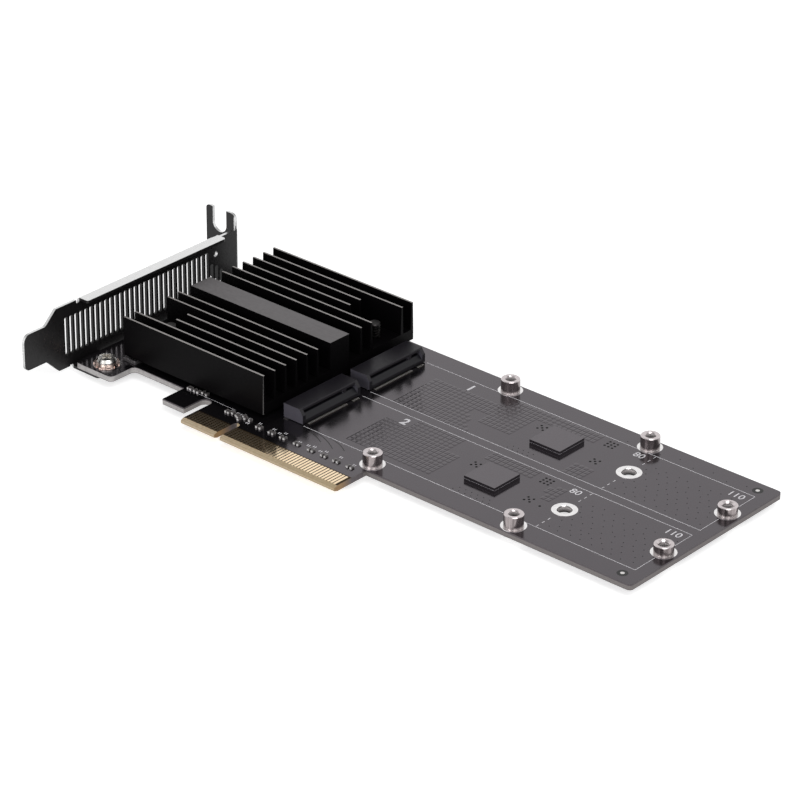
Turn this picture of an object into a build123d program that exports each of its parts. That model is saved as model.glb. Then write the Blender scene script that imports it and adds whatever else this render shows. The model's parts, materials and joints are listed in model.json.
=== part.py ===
from build123d import *
import math
import os

os.makedirs("parts", exist_ok=True)

# Low-profile adapter card for two gum-stick storage modules. Sizes are in millimetres.
# The origin is the middle of the key notch, at the card's contact edge, on the component face.
# X runs from the bracket to the free end, Y from the contacts to the far edge, Z up.

# Circuit board
board_thickness = 1.6
board_left = -54.7
board_right = 121.8
board_far = 71.2
long_edge_y = 11.6
corner_radius = 1.2
foot_front_y = 4.0
foot_right = -41.6
foot_radius = 1.5
recess_y = 12.4
latch_tab_left = -23.6
latch_tab_front_y = 4.6

# Contact tongue
contact_pitch = 1.0
contacts_before_key = 11
contacts_after_key = 38
first_contact_offset = 1.5
contact_width = 0.7
contact_length = 5.2
contact_setback = 0.75
contact_thickness = 0.05
key_width = 1.9
key_depth = 7.9
tongue_end_margin = 1.1
latch_slot_width = 3.46
latch_slot_depth = 12.2
bevel_depth = 1.1
bevel_angle = 20.0

# Bracket sheet
sheet = 0.8
bend_inside_radius = 0.4
bracket_gap = 1.3
plate_bottom = -1.5
plate_width = 18.42
bracket_foot_y = -12.3
foot_tip_width = 10.19
foot_tip_bottom = 2.72
foot_tip_end_y = -4.8
plate_start_y = -0.5
foot_tip_radius = 2.2
shoulder_radius = 0.8
bracket_length = 79.2
tab_reach = 11.43
tab_top = 20.0
tab_radius = 2.2
tab_prong_setback = 0.3
tab_notch_width = 5.0
tab_notch_bottom = 13.1
tab_notch_center_from_plate = 6.5
lip_start_y = 7.3
lip_end_inset = 8.4
lip_depth = 4.05
lip_radius = 0.8
lip_shoulder_near_drop = 0.4
lip_shoulder_far_drop = 1.0
relief_width = 1.0
relief_depth = 1.3
ear_depth = 9.6
ear_width = 10.6
ear_margin = 4.4
ear_radius = 1.5
ear_relief_top = -1.15
far_ear_inset = 3.5
vent_pitch = 1.79
vent_width = 1.1
vent_start_y = 2.5
last_long_vent_inset = 12.0
vent_bottom = 2.0
vent_top = 12.9
short_vent_tops = (9.0, 8.0, 6.4)
sight_hole_diameter = 1.5
sight_hole_inset = 9.15
sight_hole_z = 11.5

# Bracket screws with toothed washers
bracket_screw_near_x = -48.0
bracket_screw_far_x = -49.3
bracket_screw_near_y = 8.8
screw_diameter = 2.9
screw_clearance = 0.05
screw_hole_diameter = 3.3
screw_head_diameter = 5.3
screw_head_height = 1.7
screw_length_below = 0.9
recess_width = 0.85
recess_span = 3.1
recess_depth = 0.9
washer_outside = 6.9
washer_body = 6.3
washer_thickness = 0.45
washer_teeth = 10
washer_tooth_width = 0.95

# Heatsink
sink_left = -46.0
sink_right = 3.4
sink_underside = 1.6
sink_height = 10.85
sink_base = 3.0
sink_center_y = 41.76
fin_pitch = 3.96
fins_each_side = 6
first_fin_offset = 8.25
fin_top_thickness = 0.5
fin_root_thickness = 0.95
block_width = 7.1
pocket_length = 11.0

# Switch chip under the heatsink
chip_center_x = -20.0
chip_width = 19.0
chip_thickness = 0.9
die_width = 9.5
die_thickness = 0.35
contact_gap = 0.02

# Spring pins that hold the heatsink
pin_offset_x = 19.0
pin_offset_y = 18.3
pin_diameter = 2.0
pin_hole_diameter = 2.8
pin_head_diameter = 3.4
pin_head_height = 0.8
pin_head_top = 8.8
pin_barb_diameter = 3.4
pin_barb_length = 2.4
spring_wire = 0.42
spring_outside = 3.3
spring_turns = 4.0

# Module slots
slot_pitch = 25.0
slot_mean_y = 41.4
module_length = 110.0
short_module_length = 80.0
module_end_x = 118.1
module_underside = 2.45
module_clearance = 0.15

# Module connectors
connector_back = 5.95
connector_depth = 6.45
connector_length = 21.6
connector_height = 4.1
connector_standoff = 0.2
connector_roof = 0.75
lip_edge = 0.2
connector_lip_setback = 0.9
connector_cheek = 1.1
cheek_nose = 0.3
peg_diameter = 1.2
peg_inset_x = 1.2
peg_inset_y = 1.6
cheek_step_x = 5.3
cheek_front_height = 2.8
mouth_depth = 3.4
ledge_height = 1.1
ledge_slope = 1.2
lead_channel_x = 9.4
lead_channel_width = 0.4
key_rib_offset = 6.1
key_rib_width = 1.1
lead_pitch = 0.5
lead_width = 0.26
lead_thickness = 0.14
lead_margin = 0.42
lead_tip = 1.0
lead_tail = 1.15
key_gap_leads = 4
tail_riser = 1.2
solder_tab_length = 1.4
solder_tab_width = 0.6
solder_tab_thickness = 0.2
solder_tab_x = 6.4

# Posts and bushes
cover_post_left = 38.82
cover_post_spacing_x = 45.1
cover_post_spacing_y = 52.8
cover_post_near_y = 14.8
cover_post_height = 3.45
post_diameter = 5.0
post_bore = 2.6
post_chamfer = 0.25
post_flange_diameter = 6.5
post_flange_thickness = 0.1
post_spigot_diameter = 3.8
post_spigot_clearance = 0.05
module_post_countersink = 0.45
bush_flange_diameter = 6.5
bush_flange_thickness = 0.1
bush_barrel_diameter = 5.0
bush_bore = 3.5
bush_chamfer = 0.25

# Support pads under the modules
pad_size = 9.7
pad_thickness = 1.25
pad_center_x = 65.4
pad_shift_y = -0.15

# Chip capacitors, each pair by its middle
capacitor_length = 1.2
capacitor_width = 0.6
capacitor_height = 0.5
terminal_length = 0.32
pair_pitch = 1.2
pair_row_y = 9.8
pair_places_x = (5.3, 9.6, 13.5, 18.2, 23.0, 27.3, 31.4, 35.9)
cluster_places = ((-6.6, 10.5), (-5.7, 10.5), (-4.7, 10.9), (-3.2, 10.7), (-2.3, 10.3), (-1.4, 9.5), (-1.4, 11.5),
                  (-0.4, 10.9), (1.2, 10.9))
row_places = ((-22.5, 13.2), (-21.6, 13.2), (-20.3, 13.2), (-19.1, 13.2), (-18.0, 13.8), (-16.5, 13.6))

# Clock crystal beside the bracket screw
crystal_length = 4.6
crystal_width = 3.0
crystal_base = 0.5
crystal_lid = 0.35
crystal_lid_inset = 0.3
crystal_x = -44.2
crystal_y = 14.6

# Values worked out from those above
bracket_face = board_left - bracket_gap
bracket_back = bracket_face - sheet
bend_outside_radius = bend_inside_radius + sheet
plate_top = plate_bottom + plate_width
tab_outside_y = bracket_foot_y + bracket_length
tab_inside_y = tab_outside_y - sheet
lip_end_y = tab_outside_y - lip_end_inset
tab_shoulder_z = plate_top - lip_shoulder_far_drop
sight_hole_y = tab_outside_y - sight_hole_inset
vent_count = int((tab_outside_y - last_long_vent_inset - vent_start_y) / vent_pitch) + 1
far_ear_end_y = tab_outside_y - far_ear_inset
bracket_screw_far_y = far_ear_end_y - ear_margin
ear_starts_y = (bracket_screw_near_y - ear_margin, far_ear_end_y - ear_width)
lead_rows = int((connector_length - 2 * connector_cheek - 2 * lead_margin) / lead_pitch) + 1
sink_top = sink_underside + sink_height
sink_base_top = sink_underside + sink_base
tongue_left = -(first_contact_offset + (contacts_before_key - 1) * contact_pitch + tongue_end_margin)
tongue_right = first_contact_offset + (contacts_after_key - 1) * contact_pitch + tongue_end_margin
slot_centers_y = (slot_mean_y + slot_pitch / 2, slot_mean_y - slot_pitch / 2)
short_module_end_x = module_end_x - module_length + short_module_length
connector_front = connector_back + connector_depth
screw_places = ((bracket_screw_near_x, bracket_screw_near_y), (bracket_screw_far_x, bracket_screw_far_y))
pin_places = (
    (chip_center_x - pin_offset_x, sink_center_y - pin_offset_y),
    (chip_center_x + pin_offset_x, sink_center_y + pin_offset_y),
)
cover_post_places = [
    (cover_post_left + i * cover_post_spacing_x, cover_post_near_y + j * cover_post_spacing_y)
    for i in (0, 1)
    for j in (0, 1)
]
module_post_places = [(module_end_x, y) for y in slot_centers_y]
bush_places = [(short_module_end_x, y) for y in slot_centers_y]


def block(x0, x1, y0, y1, z0, z1):
    """A box given by its two corners."""
    return Pos((x0 + x1) / 2, (y0 + y1) / 2, (z0 + z1) / 2) * Box(x1 - x0, y1 - y0, z1 - z0)


def rod(x, y, z0, z1, diameter):
    """An upright cylinder from z0 to z1."""
    return Pos(x, y, z0) * Cylinder(diameter / 2, z1 - z0, align=(Align.CENTER, Align.CENTER, Align.MIN))


def rounded(face, corners):
    """Round the named corners of a flat face, each given as (point, radius)."""
    for (u, v), radius in corners:
        vertex = face.vertices().sort_by_distance((u, v, 0))[0]
        face = fillet(vertex, radius)
    return face


def polygon(points):
    """A flat face through the points in the XY plane."""
    return make_face(Polyline(*points, close=True))


def upright_x(face, x0, x1):
    """Extrude a face drawn in (Y, Z) along X from x0 to x1."""
    plane = Plane(origin=(x0, 0, 0), x_dir=(0, 1, 0), z_dir=(1, 0, 0))
    return extrude(plane * face, x1 - x0)


def upright_y(face, y0, y1):
    """Extrude a face drawn in (X, Z) along Y from y0 to y1."""
    plane = Plane(origin=(0, y0, 0), x_dir=(1, 0, 0), z_dir=(0, -1, 0))
    return extrude(plane * face, -(y1 - y0))


def turned(points, x, y):
    """Revolve a half profile drawn as (radius, height) about an upright axis at x, y."""
    face = polygon(points)
    return Pos(x, y, 0) * revolve(Plane.XZ * face, Axis.Z)


def save(name, shape):
    """Write one node's solids."""
    export_step(shape, f"parts/{name}.step")


def group(solids):
    """Several separate solids kept as one node."""
    return Compound(children=list(solids))


# Circuit board
def board_outline():
    points = [
        (tongue_left, 0), (tongue_right, 0), (tongue_right, long_edge_y),
        (board_right, long_edge_y), (board_right, board_far), (board_left, board_far),
        (board_left, foot_front_y), (foot_right, foot_front_y), (foot_right, recess_y),
        (latch_tab_left, recess_y), (latch_tab_left, latch_tab_front_y),
        (tongue_left, latch_tab_front_y),
    ]
    face = polygon(points)
    face = rounded(face, [
        ((board_right, long_edge_y), corner_radius), ((board_right, board_far), corner_radius),
        ((board_left, board_far), corner_radius), ((board_left, foot_front_y), corner_radius),
        ((foot_right, foot_front_y), foot_radius), ((foot_right, recess_y), foot_radius),
    ])
    latch_radius = latch_slot_width / 2
    latch_x = tongue_left - latch_radius
    face -= Pos(latch_x, (latch_slot_depth - latch_radius - 1) / 2) * Rectangle(
        latch_slot_width, latch_slot_depth - latch_radius + 1)
    face -= Pos(latch_x, latch_slot_depth - latch_radius) * Circle(latch_radius)
    key_radius = key_width / 2
    face -= Pos(0, (key_depth - key_radius - 1) / 2) * Rectangle(key_width, key_depth - key_radius + 1)
    face -= Pos(0, key_depth - key_radius) * Circle(key_radius)
    return face


def edge_bevels():
    """Two wedges that thin the contact edge from both faces."""
    rise = bevel_depth * math.tan(math.radians(bevel_angle))
    x0, x1 = tongue_left - 1, tongue_right + 1
    top = polygon([(-0.5, 0.5), (bevel_depth, 0.5), (bevel_depth, 0), (0, -rise), (-0.5, -rise)])
    low = polygon([
        (-0.5, -board_thickness - 0.5), (bevel_depth, -board_thickness - 0.5),
        (bevel_depth, -board_thickness), (0, -board_thickness + rise), (-0.5, -board_thickness + rise),
    ])
    return [upright_x(top, x0, x1), upright_x(low, x0, x1)]


def circuit_board():
    holes = [(x, y, screw_hole_diameter) for x, y in screw_places]
    holes += [(x, y, pin_hole_diameter) for x, y in pin_places]
    holes += [(x, y, post_spigot_diameter) for x, y in cover_post_places + module_post_places]
    holes += [(x, y, bush_barrel_diameter) for x, y in bush_places]
    face = board_outline()
    for x, y, diameter in holes:
        face -= Pos(x, y) * Circle(diameter / 2)
    board = extrude(face, -board_thickness)
    for wedge in edge_bevels():
        board -= wedge
    return board


def contact_places():
    """Middles of all contacts along the tongue."""
    before = [-(first_contact_offset + i * contact_pitch) for i in range(contacts_before_key)]
    after = [first_contact_offset + i * contact_pitch for i in range(contacts_after_key)]
    return before[::-1] + after


def edge_contacts(z0, z1):
    near = bevel_depth
    far = contact_setback + contact_length
    half = contact_width / 2
    return group(block(x - half, x + half, near, far, z0, z1) for x in contact_places())


# Folded bracket
def bracket_face_outline():
    """The flat side of the bracket in (Y, Z), from the foot's tip to the tab."""
    tip_top = foot_tip_bottom + foot_tip_width
    face = polygon([
        (bracket_foot_y, foot_tip_bottom), (foot_tip_end_y, foot_tip_bottom),
        (plate_start_y, plate_bottom), (tab_outside_y, plate_bottom),
        (tab_outside_y, plate_top), (plate_start_y, plate_top),
        (foot_tip_end_y, tip_top), (bracket_foot_y, tip_top),
    ])
    return rounded(face, [
        ((bracket_foot_y, foot_tip_bottom), foot_tip_radius * 0.75),
        ((bracket_foot_y, tip_top), foot_tip_radius),
        ((plate_start_y, plate_bottom), shoulder_radius), ((plate_start_y, plate_top), shoulder_radius),
        ((foot_tip_end_y, foot_tip_bottom), shoulder_radius), ((foot_tip_end_y, tip_top), shoulder_radius),
    ])


def vent_face():
    """The row of upright slots, the last three of them shorter, and the sight hole."""
    tops = [vent_top] * vent_count + list(short_vent_tops)
    face = Pos(sight_hole_y, sight_hole_z) * Circle(sight_hole_diameter / 2)
    for i, top in enumerate(tops):
        middle = Pos(vent_start_y + i * vent_pitch, (vent_bottom + top) / 2)
        face += middle * SlotOverall(top - vent_bottom, vent_width, rotation=90)
    return face


def tab_outline():
    """The fixing tab in (X, Z), with its open-topped notch."""
    outer = bracket_face - tab_reach
    inner = bracket_face - tab_prong_setback
    face = polygon([
        (outer, plate_bottom + tab_radius), (outer, tab_top), (inner, tab_top), (inner, tab_shoulder_z),
        (bracket_face, tab_shoulder_z), (bracket_face, plate_bottom), (outer, plate_bottom),
    ])
    face = rounded(face, [
        ((outer, tab_top), 1.1), ((inner, tab_top), tab_radius), ((outer, plate_bottom), tab_radius),
    ])
    notch_x = bracket_face - tab_notch_center_from_plate
    radius = tab_notch_width / 2
    face -= Pos(notch_x, (tab_notch_bottom + radius + tab_top + 1) / 2) * Rectangle(
        tab_notch_width, tab_top + 1 - tab_notch_bottom - radius)
    face -= Pos(notch_x, tab_notch_bottom + radius) * Circle(radius)
    return face


def tab_bend():
    """The plate and tab as one bent strip in plan, extruded over the whole height."""
    outer = bracket_face - tab_reach
    face = polygon([
        (bracket_face, bracket_foot_y), (bracket_face, tab_outside_y), (outer, tab_outside_y),
        (outer, tab_inside_y), (bracket_back, tab_inside_y), (bracket_back, bracket_foot_y),
    ])
    face = rounded(face, [
        ((bracket_face, tab_outside_y), bend_outside_radius),
        ((bracket_back, tab_inside_y), bend_inside_radius),
    ])
    low, high = plate_bottom - 1, tab_top + 1
    return Pos(0, 0, low) * extrude(face, high - low)


def lip_fold():
    """The stiffening lip folded in along the plate's upper edge."""
    free_edge = bracket_back + lip_depth
    low = plate_top - relief_depth
    face = polygon([
        (bracket_back, low), (bracket_back, plate_top), (free_edge, plate_top),
        (free_edge, plate_top - sheet), (bracket_face, plate_top - sheet), (bracket_face, low),
    ])
    face = rounded(face, [
        ((bracket_back, plate_top), bend_outside_radius),
        ((bracket_face, plate_top - sheet), bend_inside_radius),
    ])
    lip = upright_y(face, lip_start_y, lip_end_y)
    corners = lip.edges().filter_by(Axis.Z).sort_by(Axis.X)[-2:]
    return fillet(corners, lip_radius)


def ear_fold(y0):
    """A mounting ear folded in under the board."""
    top = -board_thickness
    end = bracket_face + ear_depth
    face = polygon([
        (bracket_back, top - sheet), (end, top - sheet), (end, top),
        (bracket_face, top), (bracket_face, ear_relief_top), (bracket_back, ear_relief_top),
    ])
    face = rounded(face, [
        ((bracket_back, top - sheet), bend_outside_radius), ((bracket_face, top), bend_inside_radius),
    ])
    ear = upright_y(face, y0, y0 + ear_width)
    corners = ear.edges().filter_by(Axis.Z).sort_by(Axis.X)[-2:]
    return fillet(corners, ear_radius)


def bracket():
    flat = upright_x(bracket_face_outline(), bracket_face - tab_reach - 1, bracket_face + 1)
    tab = upright_y(tab_outline(), tab_inside_y - bend_inside_radius, tab_outside_y + 1)
    strip = tab_bend()
    keep_plate = block(bracket_back - bend_inside_radius, bracket_face + 1, bracket_foot_y - 1,
                       tab_outside_y + 1, plate_bottom - 1, plate_top)
    body = (strip & flat & keep_plate) + (strip & tab)
    near, far = lip_start_y - relief_width, lip_end_y + relief_width
    bend_start_y = tab_inside_y - bend_inside_radius
    prong_edge = bracket_face - tab_prong_setback
    for x0, y0, y1, low in (
            (bracket_back - 1, near, far, plate_top - relief_depth),
            (bracket_back - 1, bracket_foot_y, near, plate_top - lip_shoulder_near_drop),
            (bracket_back - 1, far, bend_start_y, tab_shoulder_z),
            (prong_edge, bend_start_y, tab_outside_y + 1, tab_shoulder_z)):
        body -= block(x0, bracket_face + 1, y0, y1, low, plate_top + 1)
    body += lip_fold()
    for (x, y), near in zip(screw_places, ear_starts_y):
        body -= block(bracket_back - 1, bracket_face + 1, near - relief_width,
                      near + ear_width + relief_width, plate_bottom - 1, ear_relief_top)
        body += ear_fold(near)
        hole = screw_diameter + 2 * screw_clearance
        body -= rod(x, y, -board_thickness - sheet - 1, -board_thickness + 0.1, hole)
    body -= upright_x(vent_face(), bracket_back - 1, bracket_face + 1)
    return body


# Bracket screws and washers
def bracket_screw(x, y):
    seat = washer_thickness
    top = seat + screw_head_height
    radius = screw_head_diameter / 2
    tip = -board_thickness - sheet - screw_length_below
    screw = turned([
        (0, tip), (screw_diameter / 2 - 0.3, tip), (screw_diameter / 2, tip + 0.3),
        (screw_diameter / 2, seat), (radius, seat), (radius, seat + screw_head_height * 0.45),
        (radius * 0.82, top - 0.22), (radius * 0.45, top - 0.04), (0, top),
    ], x, y)
    for turn in (0, 90):
        bar = Box(recess_span, recess_width, recess_depth, align=(Align.CENTER, Align.CENTER, Align.MAX))
        screw -= Pos(x, y, top + 0.01) * Rot(0, 0, turn) * bar
    return screw


def lock_washer(x, y):
    face = Circle(washer_body / 2)
    reach = (washer_outside - washer_body) / 2 + 0.4
    for i in range(washer_teeth):
        angle = 360 * i / washer_teeth
        face += Rot(0, 0, angle) * Pos(washer_outside / 2 - reach / 2, 0) * Rectangle(reach, washer_tooth_width)
    face -= Circle(screw_hole_diameter / 2)
    return Pos(x, y, 0) * extrude(face, washer_thickness)


# Heatsink, one extrusion cut to clear its pins
def fin_offsets():
    """Fin middles from the heatsink's centre line, nearest the contacts first."""
    side = [first_fin_offset + i * fin_pitch for i in range(fins_each_side)]
    return [-offset for offset in side[::-1]] + side


def sink_half_width():
    return first_fin_offset + (fins_each_side - 1) * fin_pitch + fin_root_thickness / 2


def heatsink():
    half = sink_half_width()
    face = Pos(sink_center_y, sink_underside + sink_base / 2) * Rectangle(2 * half, sink_base)
    face += Pos(sink_center_y, sink_underside + sink_height / 2) * Rectangle(block_width, sink_height)
    root = sink_base_top - 0.2
    for offset in fin_offsets():
        y = sink_center_y + offset
        face += polygon([
            (y - fin_root_thickness / 2, root), (y + fin_root_thickness / 2, root),
            (y + fin_top_thickness / 2, sink_top), (y - fin_top_thickness / 2, sink_top),
        ])
    sink = upright_x(face, sink_left, sink_right)
    inner = first_fin_offset + 1.5 * fin_pitch
    outer = inner + 2 * fin_pitch
    for x0, x1, low, high in ((sink_left - 1, sink_left + pocket_length, -outer, -inner),
                              (sink_right - pocket_length, sink_right + 1, inner, outer)):
        sink -= block(x0, x1, sink_center_y + low, sink_center_y + high, sink_base_top, sink_top + 1)
    for x, y in pin_places:
        sink -= rod(x, y, sink_underside - 1, sink_base_top + 1, pin_hole_diameter)
    return sink


# Heatsink pins and their springs
def retention_pin(x, y):
    radius = pin_diameter / 2
    head = pin_head_diameter / 2
    barb = pin_barb_diameter / 2
    seat = pin_head_top - pin_head_height
    low = -board_thickness - contact_gap
    pin = turned([
        (0, low - pin_barb_length), (radius * 0.5, low - pin_barb_length), (barb, low - 0.5), (barb, low),
        (radius, low), (radius, seat), (head, seat), (head, pin_head_top - 0.25),
        (head - 0.25, pin_head_top), (0, pin_head_top),
    ], x, y)
    split = block(x - barb, x + barb, y - 0.25, y + 0.25, low - pin_barb_length - 0.1, low - 0.1)
    return pin - split


def pin_spring(x, y):
    radius = (spring_outside - spring_wire) / 2
    low = sink_base_top + spring_wire / 2
    height = pin_head_top - pin_head_height - sink_base_top - spring_wire
    path = Pos(x, y, low) * Helix(pitch=height / spring_turns, height=height, radius=radius)
    section = Plane(origin=path @ 0, z_dir=path % 0) * RegularPolygon(spring_wire / 2, 6)
    return sweep(section, path, is_frenet=True)


# Module connectors
def mouth_floor_z():
    return module_underside - module_clearance


def connector_profile(cheek):
    """The housing's end shape in (X, Z); the cheeks at both ends are stepped and closed."""
    back, front = connector_back, connector_front
    low, top = connector_standoff, connector_height
    lip = front - connector_lip_setback
    if cheek:
        return polygon([
            (back, low), (front, low), (front, cheek_front_height - cheek_nose),
            (front - cheek_nose, cheek_front_height), (back + cheek_step_x, top), (back, top),
        ])
    inner = lip - mouth_depth
    floor = mouth_floor_z()
    roof = top - connector_roof
    return polygon([
        (back, low), (front, low), (front, ledge_height), (front - ledge_slope, floor), (inner, floor),
        (inner, roof), (lip, roof), (lip, top - lip_edge), (lip - lip_edge, top), (back, top),
    ])


def connector_housing(center_y):
    near, far = center_y - connector_length / 2, center_y + connector_length / 2
    housing = upright_y(connector_profile(False), near + connector_cheek, far - connector_cheek)
    housing -= block(lead_channel_x, lead_channel_x + lead_channel_width, near + connector_cheek,
                     far - connector_cheek, 0, mouth_floor_z() + 0.1)
    for y0 in (near, far - connector_cheek):
        housing += upright_y(connector_profile(True), y0, y0 + connector_cheek)
    lip = connector_front - connector_lip_setback
    rib_y = center_y + key_rib_offset
    housing += block(lip - mouth_depth, lip - lip_edge, rib_y - key_rib_width / 2, rib_y + key_rib_width / 2,
                     connector_standoff, connector_height - connector_roof + 0.1)
    for y in (near + peg_inset_y, far - peg_inset_y):
        housing += rod(connector_back + peg_inset_x, y, 0, connector_standoff, peg_diameter)
    return housing


def lead_places(center_y, half_step):
    """Middles of one row of leads, without those lost at the key rib."""
    start = center_y - (lead_rows - 1) * lead_pitch / 2
    places = [start + (i + half_step / 2) * lead_pitch for i in range(lead_rows)]
    rib_y = center_y + key_rib_offset
    clear = (key_gap_leads * lead_pitch) / 2
    return [y for y in places if abs(y - rib_y) > clear]


def lower_leads(center_y):
    """Leads that touch the module in the mouth, go down the channel and run out under the ledge."""
    t = lead_thickness
    rise = lead_channel_x + (lead_channel_width - t) / 2
    floor = mouth_floor_z() + contact_gap
    end = connector_front + lead_tail
    profile = polygon([
        (rise, 0), (end, 0), (end, t), (rise + t, t), (rise + t, floor + t),
        (rise - lead_tip, floor + t), (rise - lead_tip, floor), (rise, floor),
    ])
    half = lead_width / 2
    return group(upright_y(profile, y - half, y + half) for y in lead_places(center_y, 0))


def upper_leads(center_y):
    """Leads that come down the housing's back and end on the board behind it."""
    t = lead_thickness
    back = connector_back - 0.02
    profile = polygon([
        (back, 0), (back, tail_riser), (back - t, tail_riser), (back - t, t),
        (back - lead_tail, t), (back - lead_tail, 0),
    ])
    half = lead_width / 2
    return group(upright_y(profile, y - half, y + half) for y in lead_places(center_y, 1)[:-1])


def solder_tabs():
    """Two fixing tabs at the ends of each connector."""
    tabs = []
    for center in slot_centers_y:
        for side in (-1, 1):
            inner = center + side * connector_length / 2
            y0, y1 = sorted((inner, inner + side * solder_tab_width))
            tabs.append(block(solder_tab_x, solder_tab_x + solder_tab_length, y0, y1, 0, solder_tab_thickness))
    return group(tabs)


# Posts and bushes
def post(x, y, height, mouth):
    """A threaded post on the board with a spigot through it."""
    bore, outer = post_bore / 2, post_diameter / 2
    flange = post_flange_diameter / 2
    spigot = post_spigot_diameter / 2 - post_spigot_clearance
    return turned([
        (bore, -board_thickness), (spigot, -board_thickness), (spigot, 0), (flange, 0),
        (flange, post_flange_thickness), (outer, post_flange_thickness), (outer, height - post_chamfer * 0.6),
        (outer - post_chamfer * 0.6, height), (bore + mouth, height), (bore, height - mouth),
    ], x, y)


def module_bush(x, y):
    """A threaded bush set flush in the board, for a removable post."""
    bore, barrel = bush_bore / 2, bush_barrel_diameter / 2 - post_spigot_clearance
    flange = bush_flange_diameter / 2
    top = bush_flange_thickness
    return turned([
        (bore, -board_thickness), (barrel, -board_thickness), (barrel, 0), (flange, 0),
        (flange, top), (bore + bush_chamfer, top), (bore, top - bush_chamfer),
    ], x, y)


# Small parts on the board
def capacitor_places():
    """Middles of the chip capacitors: pairs by the contacts, a cluster and a row."""
    pairs = [(x + side * pair_pitch / 2, pair_row_y) for x in pair_places_x for side in (-1, 1)]
    return pairs + list(cluster_places) + list(row_places)


def chip_capacitors():
    half = capacitor_length / 2 - terminal_length
    return group(
        block(x - capacitor_width / 2, x + capacitor_width / 2, y - half, y + half, 0, capacitor_height)
        for x, y in capacitor_places())


def capacitor_terminals():
    solids = []
    for x, y in capacitor_places():
        for side in (-1, 1):
            y0, y1 = sorted((y + side * (capacitor_length / 2 - terminal_length), y + side * capacitor_length / 2))
            solids.append(block(x - capacitor_width / 2, x + capacitor_width / 2, y0, y1, 0, capacitor_height))
    return group(solids)


def crystal():
    can = Pos(crystal_x, crystal_y, 0) * Box(
        crystal_length, crystal_width, crystal_base, align=(Align.CENTER, Align.CENTER, Align.MIN))
    lid = extrude(RectangleRounded(crystal_length - 2 * crystal_lid_inset,
                                   crystal_width - 2 * crystal_lid_inset, 0.4), crystal_lid)
    return can + Pos(crystal_x, crystal_y, crystal_base) * lid


def chip_block(width, z0, z1):
    half = width / 2
    return block(chip_center_x - half, chip_center_x + half, sink_center_y - half, sink_center_y + half, z0, z1)


def support_pad(center_y):
    half = pad_size / 2
    y = center_y + pad_shift_y
    return block(pad_center_x - half, pad_center_x + half, y - half, y + half, 0, pad_thickness)


die_top = chip_thickness + die_thickness
save("circuit_board", circuit_board())
save("edge_contacts_top", edge_contacts(0, contact_thickness))
save("edge_contacts_bottom", edge_contacts(-board_thickness - contact_thickness, -board_thickness))
save("bracket", bracket())
save("bracket_screws", group(bracket_screw(x, y) for x, y in screw_places))
save("lock_washers", group(lock_washer(x, y) for x, y in screw_places))
save("heatsink", heatsink())
save("bridge_substrate", chip_block(chip_width, 0, chip_thickness))
save("bridge_die", chip_block(die_width, chip_thickness, die_top))
save("thermal_pad", chip_block(die_width, die_top, sink_underside))
save("retention_pins", group(retention_pin(x, y) for x, y in pin_places))
save("pin_springs", group(pin_spring(x, y) for x, y in pin_places))
for number, center in enumerate(slot_centers_y, start=1):
    save(f"connector_housing_{number}", connector_housing(center))
    save(f"connector_lower_leads_{number}", lower_leads(center))
    save(f"connector_upper_leads_{number}", upper_leads(center))
save("solder_tabs", solder_tabs())
save("cover_posts", group(post(x, y, cover_post_height, post_chamfer) for x, y in cover_post_places))
save("module_posts", group(post(x, y, module_underside, module_post_countersink) for x, y in module_post_places))
save("module_bushes", group(module_bush(x, y) for x, y in bush_places))
save("support_pads", group(support_pad(y) for y in slot_centers_y))
save("chip_capacitors", chip_capacitors())
save("capacitor_terminals", capacitor_terminals())
save("clock_crystal", crystal())
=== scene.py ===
"""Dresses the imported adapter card: finishes, printed marks, mask relief, solder, light and camera."""
import json
import logging
import math
from dataclasses import dataclass, field
from enum import Enum

import bpy
import numpy as np
from mathutils import Matrix, Vector


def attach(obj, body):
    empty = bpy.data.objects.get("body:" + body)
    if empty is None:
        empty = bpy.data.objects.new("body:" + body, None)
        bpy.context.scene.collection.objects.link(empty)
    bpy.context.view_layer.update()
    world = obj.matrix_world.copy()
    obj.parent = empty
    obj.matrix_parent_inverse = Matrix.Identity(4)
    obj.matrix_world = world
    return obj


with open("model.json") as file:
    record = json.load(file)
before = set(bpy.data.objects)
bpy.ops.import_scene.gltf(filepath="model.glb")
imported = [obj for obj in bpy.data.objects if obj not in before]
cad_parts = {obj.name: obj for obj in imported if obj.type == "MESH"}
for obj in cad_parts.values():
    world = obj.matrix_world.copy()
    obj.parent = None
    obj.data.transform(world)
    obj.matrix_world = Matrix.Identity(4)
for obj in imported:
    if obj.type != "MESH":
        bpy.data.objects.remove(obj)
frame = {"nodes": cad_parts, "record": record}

LOG = logging.getLogger("adapter_card")
MM = 0.001
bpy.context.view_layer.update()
Node = bpy.types.Node
Socket = bpy.types.NodeSocket
Material = bpy.types.Material
Colour = tuple[float, float, float, float]
Pair = tuple[float, float]
Triple = tuple[float, float, float]
Span = tuple[float | None, float | None]
Shape = tuple[np.ndarray, np.ndarray]

# Sizes and places that several pieces share, in mm
BOARD_THICKNESS = 1.6
SLOT_CENTRES = (53.9, 28.9)
POSTS = ((38.82, 14.8), (83.92, 14.8), (38.82, 67.6), (83.92, 67.6))
LOW_POSTS = ((118.1, 28.9), (118.1, 53.9))
BUSHES = ((88.1, 28.9), (88.1, 53.9))

# A face looks along an axis where its normal's part along that axis is over this
FACING = 0.5


def srgb(code: str) -> Colour:
    """Turns an sRGB hex code into linear colour.

    Args:
        code: six hex digits with a leading hash.

    Returns:
        Linear red, green, blue and an alpha of one.
    """
    parts = [int(code[i:i + 2], 16) / 255 for i in (1, 3, 5)]
    linear = [c / 12.92 if c <= 0.04045 else ((c + 0.055) / 1.055) ** 2.4 for c in parts]
    return (linear[0], linear[1], linear[2], 1.0)


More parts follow.
